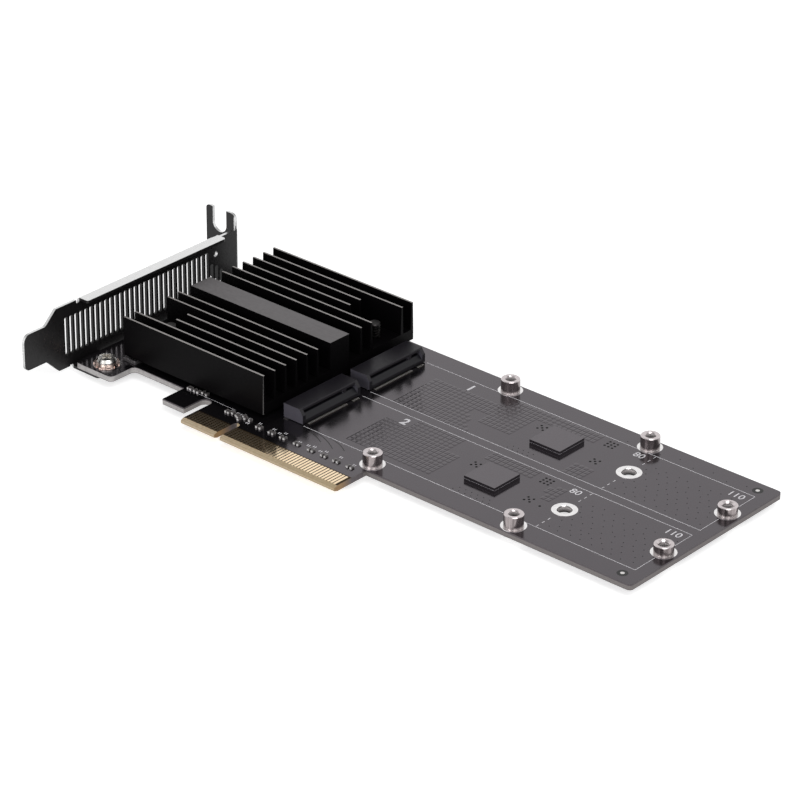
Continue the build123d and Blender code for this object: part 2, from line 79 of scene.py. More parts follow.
def add_node(tree: bpy.types.NodeTree, kind: str, inputs: dict | None = None, **settings: object) -> Node:
    """Adds one shader node with its values, links and settings.

    Args:
        tree: the node tree that gets the node.
        kind: the node's type name after "ShaderNode".
        inputs: input names or indices, each with a value, a socket, or a node that stands for its first output.
        settings: the node's own properties.

    Returns:
        The new node.
    """
    node = tree.nodes.new("ShaderNode" + kind)
    for name, value in settings.items():
        setattr(node, name, value)
    for key, value in (inputs or {}).items():
        if isinstance(value, Node):
            value = value.outputs[0]
        if isinstance(value, Socket):
            tree.links.new(value, node.inputs[key])
        else:
            node.inputs[key].default_value = value
    return node


class Lay(Enum):
    """The way fine marks run on a finish, as the stretch of its pattern along X, Y and Z."""

    ALONG_X = (0.02, 1.0, 1.0)
    ALONG_Y = (1.0, 0.05, 1.0)
    UPRIGHT = (1.0, 1.0, 0.05)
    NO_WAY = (1.0, 1.0, 1.0)


# Finishes

@dataclass
class Swatch:
    """A material in the making: its tree, its shader and what every pattern on it reads."""

    tree: bpy.types.NodeTree
    shader: Node
    place: Socket
    axes: Node
    lean: Node
    rough: Node

    def feed(self, name: str, source: Node | Socket) -> None:
        """Links a node's first output, or a socket, to the shader's input of that name."""
        self.tree.links.new(source.outputs[0] if isinstance(source, Node) else source, self.shader.inputs[name])

    def inside(self, x: Span = (None, None), y: Span = (None, None), z: Span = (None, None)) -> Node:
        """Masks a box: the mask is the product of one comparison for each limit.

        Args:
            x: the lower and the upper limit along X in mm, each None where the box is open.
            y: the same along Y.
            z: the same along Z.

        Returns:
            A node that gives 1 inside the box and 0 outside it.
        """
        tests = [add_node(self.tree, "Math", {0: self.axes.outputs[axis], 1: limit * MM}, operation=test)
                 for axis, span in enumerate((x, y, z))
                 for limit, test in zip(span, ("GREATER_THAN", "LESS_THAN")) if limit is not None]
        return self.combined("MULTIPLY", *tests)

    def combined(self, operation: str, *masks: Node) -> Node:
        """Runs one operation through several masks in turn, each with the result so far.

        Args:
            operation: MULTIPLY for the place that all masks share, MAXIMUM for the places of any of them.
            masks: nodes that each give 0 to 1.

        Returns:
            The node of the last result.
        """
        result = masks[0]
        for mask in masks[1:]:
            result = add_node(self.tree, "Math", {0: result, 1: mask}, operation=operation)
        return result

    def layered(self, base: str | Socket, *coats: tuple[Node | Socket, str | Socket]) -> Socket:
        """Lays colours over a base in turn, each blended in by its own mask.

        Args:
            base: the lowest colour, as a hex code or a socket.
            coats: for each coat a mask that gives 0 to 1, and a colour as for the base.

        Returns:
            The finished colour.
        """
        for mask, coat in coats:
            under, over = (srgb(colour) if isinstance(colour, str) else colour for colour in (base, coat))
            base = add_node(self.tree, "Mix", {0: mask, 6: under, 7: over}, data_type="RGBA").outputs[2]
        return base


@dataclass(frozen=True)
class Finish:
    """A plain finish: one colour, a fine mottle in its gloss and, where it has one, a moulded grain.

    In all finishes a window is the range of a pattern's value over which its effect goes from none to full.
    """

    name: str
    colour: str
    roughness: float
    metallic: float = 0.0
    specular: float = 0.5
    tint: str = "#ffffff"
    mottle: float = 0.04
    mottle_mm: float = 0.8
    mottle_window: Pair = (0.3, 0.7)
    grain: float = 0.0
    grain_mm: float = 0.25
    grain_height: float = 0.05

    def build(self) -> Material:
        """Makes the material: shader, mottled roughness, grain, then the finish's own pattern.

        Returns:
            The material.
        """
        material = bpy.data.materials.new(self.name)
        material.use_nodes = True
        tree = material.node_tree
        tree.nodes.clear()
        place = add_node(tree, "TexCoord").outputs["Object"]
        axes = add_node(tree, "SeparateXYZ", {0: place})
        lean = add_node(tree, "SeparateXYZ", {0: add_node(tree, "NewGeometry").outputs["True Normal"]})
        cloud = add_node(tree, "TexNoise", {"Vector": place, "Scale": 1 / (self.mottle_mm * MM), "Detail": 4.0})
        rough = add_node(tree, "MapRange", {
            "Value": cloud, "From Min": self.mottle_window[0], "From Max": self.mottle_window[1],
            "To Min": self.roughness - self.mottle, "To Max": self.roughness + self.mottle},
            interpolation_type="SMOOTHSTEP")
        shader = add_node(tree, "BsdfPrincipled", {
            "Base Color": srgb(self.colour), "Roughness": rough, "Metallic": self.metallic})
        if self.metallic < 1:
            shader.inputs["Specular IOR Level"].default_value = self.specular
            shader.inputs["Specular Tint"].default_value = srgb(self.tint)
        add_node(tree, "OutputMaterial", {"Surface": shader})
        swatch = Swatch(tree, shader, place, axes, lean, rough)
        if self.grain > 0:
            grain = add_node(tree, "TexNoise", {"Vector": place, "Scale": 1 / (self.grain_mm * MM), "Detail": 3.0})
            swatch.feed("Normal", add_node(tree, "Bump", {
                "Strength": self.grain, "Distance": self.grain_height * MM, "Height": grain}))
        self.dress(swatch)
        return material

    def dress(self, swatch: Swatch) -> None:
        """Adds nothing here; a finish with a pattern of its own adds it in its class."""


@dataclass(frozen=True)
class SolderMask(Finish):
    """Glossy black solder mask over woven glass-epoxy, bare where the board was cut.

    The mask is a thin liquid coat, so it mirrors what stands on it at a low angle. The cut sides show
    laminate in layers: dull grey, paler at the board's foot and darker along the long side as painted light and
    shade, and tan on the contact tongue, whose change along X is painted light and shade and whose right end is
    browner. The skin of the mask hangs over the rims of the grey sides.
    """

    foot_x: float = -42.0
    # Painted light and shade on the grey cut sides: paler at the foot, darker along the long side
    foot_side_lit: str = "#b4b2b0"
    long_side_shaded: str = "#625f5b"
    layer_mm: float = 0.2
    layer_depth: float = 0.14
    layer_dark: str = "#5d5a59"
    fibre_mm: float = 0.9
    fibre_share: float = 0.45
    fibre_window: Pair = (0.3, 0.75)
    tongue_left: float = -13.0
    tongue_right: float = 39.7
    tongue_y: float = 10.5
    end_margin: float = 0.1
    bevel_y: float = 1.09
    # The tan's change from left to right along the tongue is painted light and shade
    tan_left: str = "#b3a488"
    tan_right: str = "#a99a78"
    tan_dark: str = "#86683f"
    end_brown: str = "#8a6c3e"
    end_dark: str = "#454241"
    end_brown_y: Pair = (2.5, 6.3)
    skin: str = "#2c2a2a"
    skin_low: float = -1.5
    skin_foot: float = 0.1
    skin_long: float = 0.42
    skin_run: float = 0.3
    cut_dullness: float = 0.5

    def dress(self, swatch: Swatch) -> None:
        """Bares the cut sides, where the normal lies nearly flat, and the bevel, by its Y.

        Args:
            swatch: the material in the making.
        """
        tree = swatch.tree
        upright = add_node(tree, "Math", {0: swatch.lean.outputs[2]}, operation="ABSOLUTE")
        side = add_node(tree, "Math", {0: upright, 1: FACING}, operation="LESS_THAN")
        bare = swatch.combined("MAXIMUM", side, swatch.inside(y=(None, self.bevel_y)))
        run = add_node(tree, "MapRange", {"Value": swatch.axes.outputs[0], "From Min": self.foot_x * MM,
                                          "From Max": self.tongue_right * MM})
        tongue = swatch.inside(x=(self.tongue_left, self.tongue_right + self.end_margin), y=(None, self.tongue_y))
        grey, tan = self.laminates(swatch, run)
        body = add_node(tree, "Math", {0: 1.0, 1: tongue}, operation="SUBTRACT")
        rim = swatch.combined("MULTIPLY", self.rim(swatch, run), body)
        cut = swatch.layered(grey, (tongue, tan), (rim, self.skin))
        swatch.feed("Base Color", swatch.layered(self.colour, (bare, cut)))
        swatch.feed("Roughness", add_node(tree, "Math", {
            0: bare, 1: self.cut_dullness, 2: swatch.rough}, operation="MULTIPLY_ADD"))

    def laminates(self, swatch: Swatch, run: Node) -> tuple[Socket, Socket]:
        """Mixes the grey and the tan laminate, both darkened by a sine of the height plus a fibre noise.

        Args:
            swatch: the material in the making.
            run: the share of the way from the foot to the tongue's right end.

        Returns:
            The grey and the tan.
        """
        tree = swatch.tree
        x, y, z = swatch.axes.outputs
        depth = add_node(tree, "Math", {0: z, 1: 2 * math.pi / (self.layer_mm * MM)}, operation="MULTIPLY")
        layer = add_node(tree, "Math", {0: depth}, operation="SINE")
        fibre = add_node(tree, "TexNoise", {"Vector": swatch.place, "Scale": 1 / (self.fibre_mm * MM), "Detail": 5.0})
        shade = add_node(tree, "Math", {0: layer, 1: self.layer_depth, 2: fibre}, operation="MULTIPLY_ADD")
        share = add_node(tree, "MapRange", {
            "Value": shade, "From Min": self.fibre_window[0], "From Max": self.fibre_window[1],
            "To Max": self.fibre_share})
        # The tan's change along X is painted light and shade
        along = add_node(tree, "MapRange", {
            "Value": x, "From Min": self.tongue_left * MM, "From Max": self.tongue_right * MM})
        end = add_node(tree, "Math", {0: swatch.lean.outputs[0], 1: FACING}, operation="GREATER_THAN")
        back = add_node(tree, "MapRange", {
            "Value": y, "From Min": self.end_brown_y[0] * MM, "From Max": self.end_brown_y[1] * MM})
        brown = swatch.layered(self.end_brown, (back, self.end_dark))
        # The grey's change from the foot to the long side is painted light and shade
        grey = swatch.layered(self.foot_side_lit, (run, self.long_side_shaded), (share, self.layer_dark))
        return grey, swatch.layered(self.tan_left, (along, self.tan_right), (share, self.tan_dark), (end, brown))

    def rim(self, swatch: Swatch, run: Node) -> Node:
        """Masks a side's rims: the lower one, and the upper one, which is deeper on the long side.

        Args:
            swatch: the material in the making.
            run: the share of the way from the foot to the tongue's right end.

        Returns:
            The mask's node.
        """
        reach = add_node(swatch.tree, "MapRange", {
            "Value": run, "From Max": self.skin_run, "To Min": self.skin_foot * MM, "To Max": self.skin_long * MM})
        hung = add_node(swatch.tree, "Math", {0: swatch.axes.outputs[2], 1: reach}, operation="ADD")
        upper = add_node(swatch.tree, "Math", {0: hung, 1: 0.0}, operation="GREATER_THAN")
        return swatch.combined("MAXIMUM", upper, swatch.inside(z=(None, self.skin_low)))


@dataclass(frozen=True)
class OpenResin(Finish):
    """Bare brown glass-epoxy between the contacts, where the mask was left off; dull beside the gold."""

    # The lighter colour towards the right end is painted light
    right: str = "#3a2d17"
    reach: Pair = (-12.6, 39.6)
    cloth_mm: float = 1.2
    cloth_share: float = 0.3

    def dress(self, swatch: Swatch) -> None:
        """Lightens the resin along X, painted shade that is darkest at the left end, and lets the glass cloth show as
        a soft mottle.

        Args:
            swatch: the material in the making.
        """
        # Painted shade: darker at the left end, where the heatsink's shadow falls, lighter towards the right
        along = add_node(swatch.tree, "MapRange", {
            "Value": swatch.axes.outputs[0], "From Min": self.reach[0] * MM, "From Max": self.reach[1] * MM})
        cloth = add_node(swatch.tree, "TexNoise", {
            "Vector": swatch.place, "Scale": 1 / (self.cloth_mm * MM), "Detail": 3.0})
        share = add_node(swatch.tree, "Math", {0: cloth, 1: self.cloth_share, 2: along}, operation="MULTIPLY_ADD")
        share = add_node(swatch.tree, "Math", {
            0: share, 1: self.cloth_share / 2}, operation="SUBTRACT", use_clamp=True)
        swatch.feed("Base Color", swatch.layered(self.colour, (share, self.right)))


@dataclass(frozen=True)
class CoatedSheet(Finish):
    """Black coated sheet steel whose sheared edges kept bright metal.

    The coat is thin and satin. Thin light lines run round the plate, the tip and the tab's notch, and
    the folded lip is bright along its top. The vents are dark inside: painted shade.
    """

    metal: str = "#e4e4e4"
    plate_x: float = -55.9
    tab_y: float = 66.05
    lip_z: float = 16.86
    vent_y: float = 1.4
    long_vents_y: float = 55.3
    vent_low: float = 1.8
    short_vent_high: float = 10.0
    long_vent_high: float = 13.4
    edge_lean: float = 0.35
    # Share of the bright metal kept on edges that look down: painted shade
    lit_share_below: float = 0.25
    lean_window: Pair = (-0.6, 0.4)
    edge_gloss: float = -0.08

    def dress(self, swatch: Swatch) -> None:
        """Marks a sheared edge where the normal lies in the sheet's own plane, less so where it looks down, as
        painted shade.

        Args:
            swatch: the material in the making.
        """
        tree = swatch.tree
        across, along = (add_node(tree, "Math", {
            0: add_node(tree, "Math", {0: swatch.lean.outputs[axis]}, operation="ABSOLUTE"), 1: self.edge_lean},
            operation="LESS_THAN") for axis in (0, 1))
        in_tab = swatch.inside(y=(self.tab_y, None))
        before_tab = add_node(tree, "Math", {0: 1.0, 1: in_tab}, operation="SUBTRACT")
        # The vents' own walls keep the dark coat colour as painted shade
        top = add_node(tree, "Math", {
            0: swatch.inside(y=(None, self.long_vents_y)), 1: (self.long_vent_high - self.short_vent_high) * MM,
            2: self.short_vent_high * MM}, operation="MULTIPLY_ADD")
        below = add_node(tree, "Math", {0: swatch.axes.outputs[2], 1: top}, operation="LESS_THAN")
        vents = swatch.combined("MULTIPLY", swatch.inside(y=(self.vent_y, None), z=(self.vent_low, None)), below)
        solid = add_node(tree, "Math", {0: 1.0, 1: vents}, operation="SUBTRACT")
        edge = swatch.combined("MULTIPLY", across, swatch.inside(x=(None, self.plate_x)), before_tab, solid)
        tab_edge = swatch.combined("MULTIPLY", along, in_tab)
        lip = swatch.combined("MULTIPLY", swatch.inside(z=(self.lip_z, None)), before_tab)
        # Edges that look down keep less of the bright metal: painted shade
        upper = add_node(tree, "MapRange", {
            "Value": swatch.lean.outputs[2], "From Min": self.lean_window[0], "From Max": self.lean_window[1],
            "To Min": self.lit_share_below})
        bare = swatch.combined("MULTIPLY", swatch.combined("MAXIMUM", edge, tab_edge, lip), upper)
        swatch.feed("Base Color", swatch.layered(self.colour, (bare, self.metal)))
        swatch.feed("Metallic", bare)
        swatch.feed("Roughness", add_node(tree, "Math", {
            0: bare, 1: self.edge_gloss, 2: swatch.rough}, operation="MULTIPLY_ADD"))


@dataclass(frozen=True)
class AnodisedExtrusion(Finish):
    """Black anodised aluminium extrusion whose fin tips and block top are lighter, a painted highlight, and brushed.

    The die leaves faint lines along the fins, which are nearly black between them, and the near fin's
    end corner carries a painted highlight. Brush marks are about 0.15 mm apart, drawn wider so that they show.
    """

    top_z: float = 12.4
    top_metal: float = 0.85
    # Painted highlight colours of the fin tips and of the block top
    tip: str = "#a19d9b"
    block: str = "#6f6c6d"
    block_half: float = 3.6
    centre_y: float = 41.76
    brush_mm: float = 0.25
    brush_share: float = 0.16
    brush_window: Pair = (0.35, 0.65)
    brush_dark: str = "#4a484a"
    corner: Pair = (3.33, 13.5)
    corner_highlight: str = "#5f5d5d"
    die_strength: float = 0.2
    die_depth: float = 0.02

    def dress(self, swatch: Swatch) -> None:
        """Picks the tops by their height and the block by its distance from the middle, paints them lighter as a
        highlight, and brushes both.

        Args:
            swatch: the material in the making.
        """
        tree = swatch.tree
        # The tops' lighter colour and metal are a painted highlight on the faces that look up
        top = swatch.inside(z=(self.top_z, None))
        middle = swatch.inside(y=(self.centre_y - self.block_half, self.centre_y + self.block_half))
        drawn = add_node(tree, "Mapping", {"Vector": swatch.place, "Scale": Lay.ALONG_X.value})
        brush = add_node(tree, "TexNoise", {"Vector": drawn, "Scale": 1 / (self.brush_mm * MM), "Detail": 4.0})
        mark = add_node(tree, "MapRange", {
            "Value": brush, "From Min": self.brush_window[0], "From Max": self.brush_window[1],
            "To Max": self.brush_share})
        top_highlight = swatch.layered(self.tip, (middle, self.block), (mark, self.brush_dark))
        # A painted highlight along the near fin's end corner
        corner = swatch.inside(x=(self.corner[0], None), y=(None, self.corner[1]))
        swatch.feed("Base Color", swatch.layered(self.colour, (corner, self.corner_highlight), (top, top_highlight)))
        swatch.feed("Metallic", add_node(tree, "Math", {0: top, 1: self.top_metal}, operation="MULTIPLY"))
        swatch.feed("Normal", add_node(tree, "Bump", {
            "Strength": self.die_strength, "Distance": self.die_depth * MM, "Height": brush}))


@dataclass(frozen=True)
class StreakedMetal(Finish):
    """Plated or drawn metal with fine marks that run one way, a little darker and duller."""

    metallic: float = 1.0
    lay: Lay = Lay.UPRIGHT
    streak_and_band_mm: float = 0.35
    dark: str = "#8a8683"
    depth: float = 0.6
    window: Pair = (0.35, 0.75)
    dullness: float = 0.12

    def dress(self, swatch: Swatch) -> None:
        """Stretches a noise along the lay and darkens and dulls the metal where it is high.

        Args:
            swatch: the material in the making.
        """
        tree = swatch.tree
        drawn = add_node(tree, "Mapping", {"Vector": swatch.place, "Scale": self.lay.value})
        marks = add_node(tree, "TexNoise", {"Vector": drawn, "Scale": 1 / (self.streak_and_band_mm * MM), "Detail": 3.0})
        share = add_node(tree, "MapRange", {
            "Value": marks, "From Min": self.window[0], "From Max": self.window[1], "To Max": self.depth})
        swatch.feed("Base Color", swatch.layered(self.colour, (share, self.dark), *self.coats(swatch)))
        swatch.feed("Roughness", add_node(tree, "Math", {
            0: share, 1: self.dullness, 2: swatch.rough}, operation="MULTIPLY_ADD"))

    def coats(self, swatch: Swatch) -> list[tuple[Node, str]]:
        """Has no colour over the streaks; a metal that differs by place gives its masks and colours here."""
        return []


@dataclass(frozen=True)
class TinnedPost(StreakedMetal):
    """Turned brass under bright tin, with coarse upright bands of painted reflection. Its top face is paler, a
    painted highlight, and its foot is white with solder.

    Below the board's face, as in a bush's threaded bore, it is darker: painted shade.
    """

    top: str = "#d3cbcc"
    foot: str = "#f6f4f4"
    foot_z: float = 0.12
    bore: str = "#6f6b6b"
    bore_z: float = -0.02

    def coats(self, swatch: Swatch) -> list[tuple[Node, str]]:
        """Picks the top faces by their normal for a painted highlight, and the foot and the bore by their height; the
        bore's darker colour is painted shade.

        Args:
            swatch: the material in the making.

        Returns:
            A mask and a colour for each.
        """
        # Pale top faces: painted highlight; darker below the board's face: painted shade
        up = add_node(swatch.tree, "Math", {0: swatch.lean.outputs[2], 1: FACING}, operation="GREATER_THAN")
        return [(up, self.top), (swatch.inside(z=(None, self.foot_z)), self.foot),
                (swatch.inside(z=(None, self.bore_z)), self.bore)]


@dataclass(frozen=True)
class CutThread(Finish):
    """A tapped wall, matt grey by its mouth and darker further down as painted shade."""

    painted_deep_shade: str = "#1d1a1b"

    def dress(self, swatch: Swatch) -> None:
        """Darkens the wall by its own depth attribute as painted shade; the attribute is 0 at the mouth and 1 where
        it is darkest.
        """
        depth = add_node(swatch.tree, "Attribute", attribute_name="depth").outputs["Fac"]
        swatch.feed("Base Color", swatch.layered(self.colour, (depth, self.painted_deep_shade)))


@dataclass(frozen=True)
class SideLinedPad(Finish):
    """Black silicone pad whose side is darker than its top as painted shade, with a pale line round the side."""

    side: str = "#141315"
    side_line: str = "#8a888c"
    side_line_z: float = 0.5
    side_line_half: float = 0.05

    def dress(self, swatch: Swatch) -> None:
        """Darkens the sides as painted shade and draws the pale line on them where the height is within its
        half-width.

        Args:
            swatch: the material in the making.
        """
        line = swatch.inside(z=(self.side_line_z - self.side_line_half, self.side_line_z + self.side_line_half))
        # The sides' darker colour is painted shade
        side = add_node(swatch.tree, "Math", {0: swatch.lean.outputs[2], 1: FACING}, operation="LESS_THAN")
        seen = swatch.combined("MULTIPLY", line, side)
        swatch.feed("Base Color", swatch.layered(self.colour, (side, self.side), (seen, self.side_line)))


@dataclass(frozen=True)
class Moulding(Finish):
    """Glass-filled black moulding: its ends are paler, painted light, and its mouth is darker, painted shade."""

    # Painted light on the ends and painted shade in the mouth
    end: str = "#4c4a52"
    end_lean: float = 0.8
    mouth: str = "#131217"
    mouth_z: float = 2.35

    def dress(self, swatch: Swatch) -> None:
        """Pales the faces that look along Y as painted light, and darkens the mouth, which is lower than the cheeks'
        tops, as painted shade.

        Args:
            swatch: the material in the making.
        """
        # Faces that look along Y: painted light
        lean = add_node(swatch.tree, "Math", {0: swatch.lean.outputs[1]}, operation="ABSOLUTE")
        ends = add_node(swatch.tree, "Math", {0: lean, 1: self.end_lean}, operation="GREATER_THAN")
        # Below the cheeks' tops: painted shade in the mouth
        low = swatch.inside(z=(None, self.mouth_z))
        swatch.feed("Base Color", swatch.layered(self.colour, (low, self.mouth), (ends, self.end)))


@dataclass(frozen=True)
class FrontLitTerminal(Finish):
    """A tin-dipped end cap: white on its front as a painted highlight, darker on its other faces as painted shade."""

    # Painted shade on the faces that don't look to the contact edge
    other: str = "#7c7a79"

    def dress(self, swatch: Swatch) -> None:
        """Keeps the white, a painted highlight, where the normal looks to the contact edge."""
        front = add_node(swatch.tree, "Math", {0: swatch.lean.outputs[1], 1: -FACING}, operation="LESS_THAN")
        swatch.feed("Base Color", swatch.layered(self.other, (front, self.colour)))


@dataclass(frozen=True)
class LiddedCan(Finish):
    """A small ceramic can with a dark metal lid, partly a painted reflection of the heatsink, and a paler rim, a
    painted highlight.
    """

    # The rim's paler colour is a painted highlight
    rim: str = "#8f8c8e"
    centre: Pair = (-44.2, 14.6)
    half: Pair = (1.95, 1.15)

    def dress(self, swatch: Swatch) -> None:
        """Lays the lid's colour over the rim's in a rectangle: each centre minus and plus its half."""
        x, y = ((middle - half, middle + half) for middle, half in zip(self.centre, self.half))
        swatch.feed("Base Color", swatch.layered(self.rim, (swatch.inside(x=x, y=y), self.colour)))


@dataclass(frozen=True)
class Ink(Finish):
    """Thin pale legend ink, screened on, a little patchy where it went on thin."""

    thin: str = "#b0adb2"
    patch_mm: float = 0.6
    patch_share: float = 0.5
    patch_window: Pair = (0.4, 0.75)

    def dress(self, swatch: Swatch) -> None:
        """Lets a coarse noise thin the ink.

        Args:
            swatch: the material in the making.
        """
        patch = add_node(swatch.tree, "TexNoise", {
            "Vector": swatch.place, "Scale": 1 / (self.patch_mm * MM), "Detail": 3.0})
        share = add_node(swatch.tree, "MapRange", {
            "Value": patch, "From Min": self.patch_window[0], "From Max": self.patch_window[1],
            "To Max": self.patch_share})
        swatch.feed("Base Color", swatch.layered(self.colour, (share, self.thin)))


class Finishes:
    """All finishes of the card, built once and looked up by material slot or, where it differs, by node."""

    def __init__(self) -> None:
        """Builds every material."""
        by_slot = {
            "solder_mask": SolderMask("black_solder_mask", "#0e0d0f", 0.15, specular=1.0, tint="#fff0fc",
                                      mottle=0.02, mottle_mm=6.0),
            "gold_plate": StreakedMetal("hard_gold_plate", "#ffe9c6", 0.13, metallic=0.96, mottle=0.01,
                                        dark="#c47a48", lay=Lay.ALONG_Y, depth=0.2),
            "black_coated_steel": CoatedSheet("black_coated_steel", "#151415", 0.32, specular=0.25,
                                              mottle=0.05, grain=0.1),
            "nickel_screw": StreakedMetal("bright_nickel", "#f2f0ec", 0.22, dark="#c8c3bd"),
            "black_anodised": AnodisedExtrusion("black_anodised_aluminium", "#070607", 0.4, specular=0.04),
            "chip_package": Finish("moulded_package", "#141415", 0.45, grain=0.3),
            "black_elastomer": SideLinedPad("black_silicone_pad", "#302e30", 0.16, specular=1.0, tint="#fff0fc",
                                          mottle=0.03, grain=0.03),
            "pin_steel": StreakedMetal("blackened_pin_steel", "#3a3838", 0.3, dark="#1e1d1d"),
            "spring_steel": StreakedMetal("blackened_spring_wire", "#4a4847", 0.28, dark="#262525"),
            "connector_plastic": Moulding("glass_filled_moulding", "#1b191e", 0.36, specular=0.3, grain=0.25,
                                          grain_mm=0.15),
            "gold_lead": StreakedMetal("gold_flashed_lead", "#77726a", 0.3, dark="#3a3732"),
            "tinned_metal": StreakedMetal("bright_tin", "#e6e4e2", 0.24, dark="#a8a4a2", depth=0.4),
            "capacitor_ceramic": Finish("fired_ceramic", "#575253", 0.35, grain=0.1),
        }
        by_node = {
            "solder_tabs": StreakedMetal("dull_tinned_tab", "#94918f", 0.3, dark="#5f5c5b"),
            "lock_washers": StreakedMetal("warm_nickel_washer", "#d9c3bb", 0.2, dark="#a8938c"),
            "capacitor_terminals": FrontLitTerminal("tin_dipped_terminal", "#e2e0df", 0.35, metallic=0.2),
            "clock_crystal": LiddedCan("lidded_can", "#3b3a3c", 0.3, metallic=0.8),
        }
        self.by_slot = {slot: finish.build() for slot, finish in by_slot.items()}
        self.by_node = {node: finish.build() for node, finish in by_node.items()}
        # The posts' coarse, deep upright streaks are painted reflection bands
        post = TinnedPost("tinned_brass", "#a89f9f", 0.22, dark="#4a4445", streak_and_band_mm=1.0, depth=1.0).build()
        self.by_node.update(dict.fromkeys(("cover_posts", "module_posts", "module_bushes"), post))
        self.mask, self.tin = self.by_slot["solder_mask"], self.by_slot["tinned_metal"]
        self.solder = StreakedMetal("lead_free_solder", "#bcb9b7", 0.35, metallic=0.35, dark="#6b6866",
                                    lay=Lay.NO_WAY).build()
        self.thread = CutThread("cut_thread", "#cdc7c7", 0.5, metallic=0.2, mottle=0.05).build()
        self.resin = OpenResin("open_glass_epoxy", "#160c07", 0.5, specular=0.1).build()
        self.ink = Ink("pale_legend_ink", "#e6e4e8", 0.45, specular=0.4).build()
        # Black discs for the vias: painted shade that stands in for their dark insides
        self.hole = Finish("open_via", "#050505", 0.6, specular=0.1, mottle=0.02).build()
        self.groove = Finish("thin_mask_groove", "#0a090a", 0.3, specular=0.35, mottle=0.03).build()

    def dress_nodes(self) -> None:
        """Gives every CAD node its own finish, or that of its material slot."""
        slots = {part["node"]: part["material_slot"] for part in frame["record"]["subparts"]}
        for name, node in frame["nodes"].items():
            finish = self.by_node.get(name, self.by_slot[slots[name]])
            if node.data.materials:
                for i in range(len(node.data.materials)):
                    node.data.materials[i] = finish
            else:
                node.data.materials.append(finish)
            LOG.info("%s: %s", name, finish.name)


# Shapes

def write_piece(name: str, shape: Shape, material: Material, smooth: bool = False) -> bpy.types.Object:
    """Makes a finished piece from whole arrays and fixes it to the card.

    Args:
        name: the piece's name.
        shape: points in metres and faces as point indices.
        material: the piece's finish.
        smooth: whether the shading is smooth.

    Returns:
        The new object.
    """
    points, faces = shape
    mesh = bpy.data.meshes.new(name)
    mesh.from_pydata(points.tolist(), [], [list(face) for face in faces])
    mesh.materials.append(material)
    mesh.polygons.foreach_set("use_smooth", np.full(len(mesh.polygons), smooth))
    mesh.update()
    piece = bpy.data.objects.new(name, mesh)
    bpy.context.scene.collection.objects.link(piece)
    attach(piece, "root")
    LOG.info("%s: %d faces", name, len(faces))
    return piece


def tapered_pads(centres: np.ndarray, foot: np.ndarray | Pair | float, top: np.ndarray | Pair | float,
                 low: float, high: float) -> Shape:
    """Low four-sided frustums with open undersides, one at each centre.

    A pad's corners are its centre plus or minus half its foot at the low height, and plus or minus
    half its top at the high one.

    Args:
        centres: an (n, 2) array of middles in mm.
        foot: the foot's size in mm along X and Y: an (n, 2) array, a pair for all pads, or one number for both.
        top: the top's size, likewise.
        low: the foot's height in mm.
        high: the top's height in mm.

    Returns:
        Points in metres and four-cornered faces.
    """
    signs = np.array([(-1, -1), (1, -1), (1, 1), (-1, 1)]) / 2
    n = len(centres)
    points = np.zeros((n, 8, 3))
    for corners, size, height in ((slice(0, 4), foot, low), (slice(4, 8), top, high)):
        points[:, corners, :2] = centres[:, None, :] + signs[None] * np.broadcast_to(size, (n, 2))[:, None, :]
        points[:, corners, 2] = height
    one = np.array([(4, 5, 6, 7), (0, 1, 5, 4), (1, 2, 6, 5), (2, 3, 7, 6), (3, 0, 4, 7)])
    faces = (one[None] + 8 * np.arange(n)[:, None, None]).reshape(-1, 4)
    return points.reshape(-1, 3) * MM, faces


def flat_rings(centres: np.ndarray, inner: float, outer: float, height: float, sides: int,
               upward: bool = True) -> Shape:
    """Flat rings at one height, or whole discs where the inner radius is nought.

    Point k of a circle is its centre plus the radius at angle 2 pi k / sides.

    Args:
        centres: an (n, 2) array of middles in mm.
        inner: the hole's radius in mm, or nought.
        outer: the outside radius in mm.
        height: the rings' height in mm.
        sides: points on a circle.
        upward: whether the faces look up; otherwise they look down.

    Returns:
        Points in metres and faces.
    """
    k = np.arange(sides)
    angle = 2 * np.pi * k / sides
    circle = np.stack([np.cos(angle), np.sin(angle)], axis=1)
    if inner > 0:
        flat = np.concatenate([circle * outer, circle * inner])
        one = np.stack([k, np.roll(k, -1), sides + np.roll(k, -1), sides + k], axis=1)
    else:
        flat, one = circle * outer, k[None]
    points = np.full((len(centres), len(flat), 3), height)
    points[:, :, :2] = centres[:, None, :] + flat[None]
    one = one if upward else one[:, ::-1]
    faces = (one[None] + len(flat) * np.arange(len(centres))[:, None, None]).reshape(-1, one.shape[1])
    return points.reshape(-1, 3) * MM, faces


def ribbon(path: np.ndarray, width: float, height: float) -> Shape:
    """A flat ribbon that looks up: its sides are the path plus and minus half the width across its run.

    Args:
        path: an (n, 2) array of places in mm.
        width: the ribbon's width in mm.
        height: its height in mm.

    Returns:
        Points in metres and four-cornered faces.
    """
    run = np.gradient(path, axis=0)
    run /= np.linalg.norm(run, axis=1, keepdims=True)
    across = np.stack([-run[:, 1], run[:, 0]], axis=1) * width / 2
    points = np.full((2 * len(path), 3), height)
    points[::2, :2], points[1::2, :2] = path - across, path + across
    k = 2 * np.arange(len(path) - 1)
    return points * MM, np.stack([k, k + 2, k + 3, k + 1], axis=1)


def joined(shapes: list[Shape]) -> Shape:
    """Puts several shapes into one, with their faces numbered on.

    Args:
        shapes: points and faces of each.

    Returns:
        All points and a list of all faces.
    """
    starts = np.cumsum([0] + [len(points) for points, _ in shapes])
    faces = [np.asarray(face) + start for (_, own), start in zip(shapes, starts) for face in own]
    return np.concatenate([points for points, _ in shapes]), faces


# Relief and holes in the board

@dataclass
class Field:
    """A rectangle of the relief grid, in mm; its right side may lean by slope mm per mm going down."""

    left: float
    right: float
    low: float
    high: float
    slope: float = 0.0


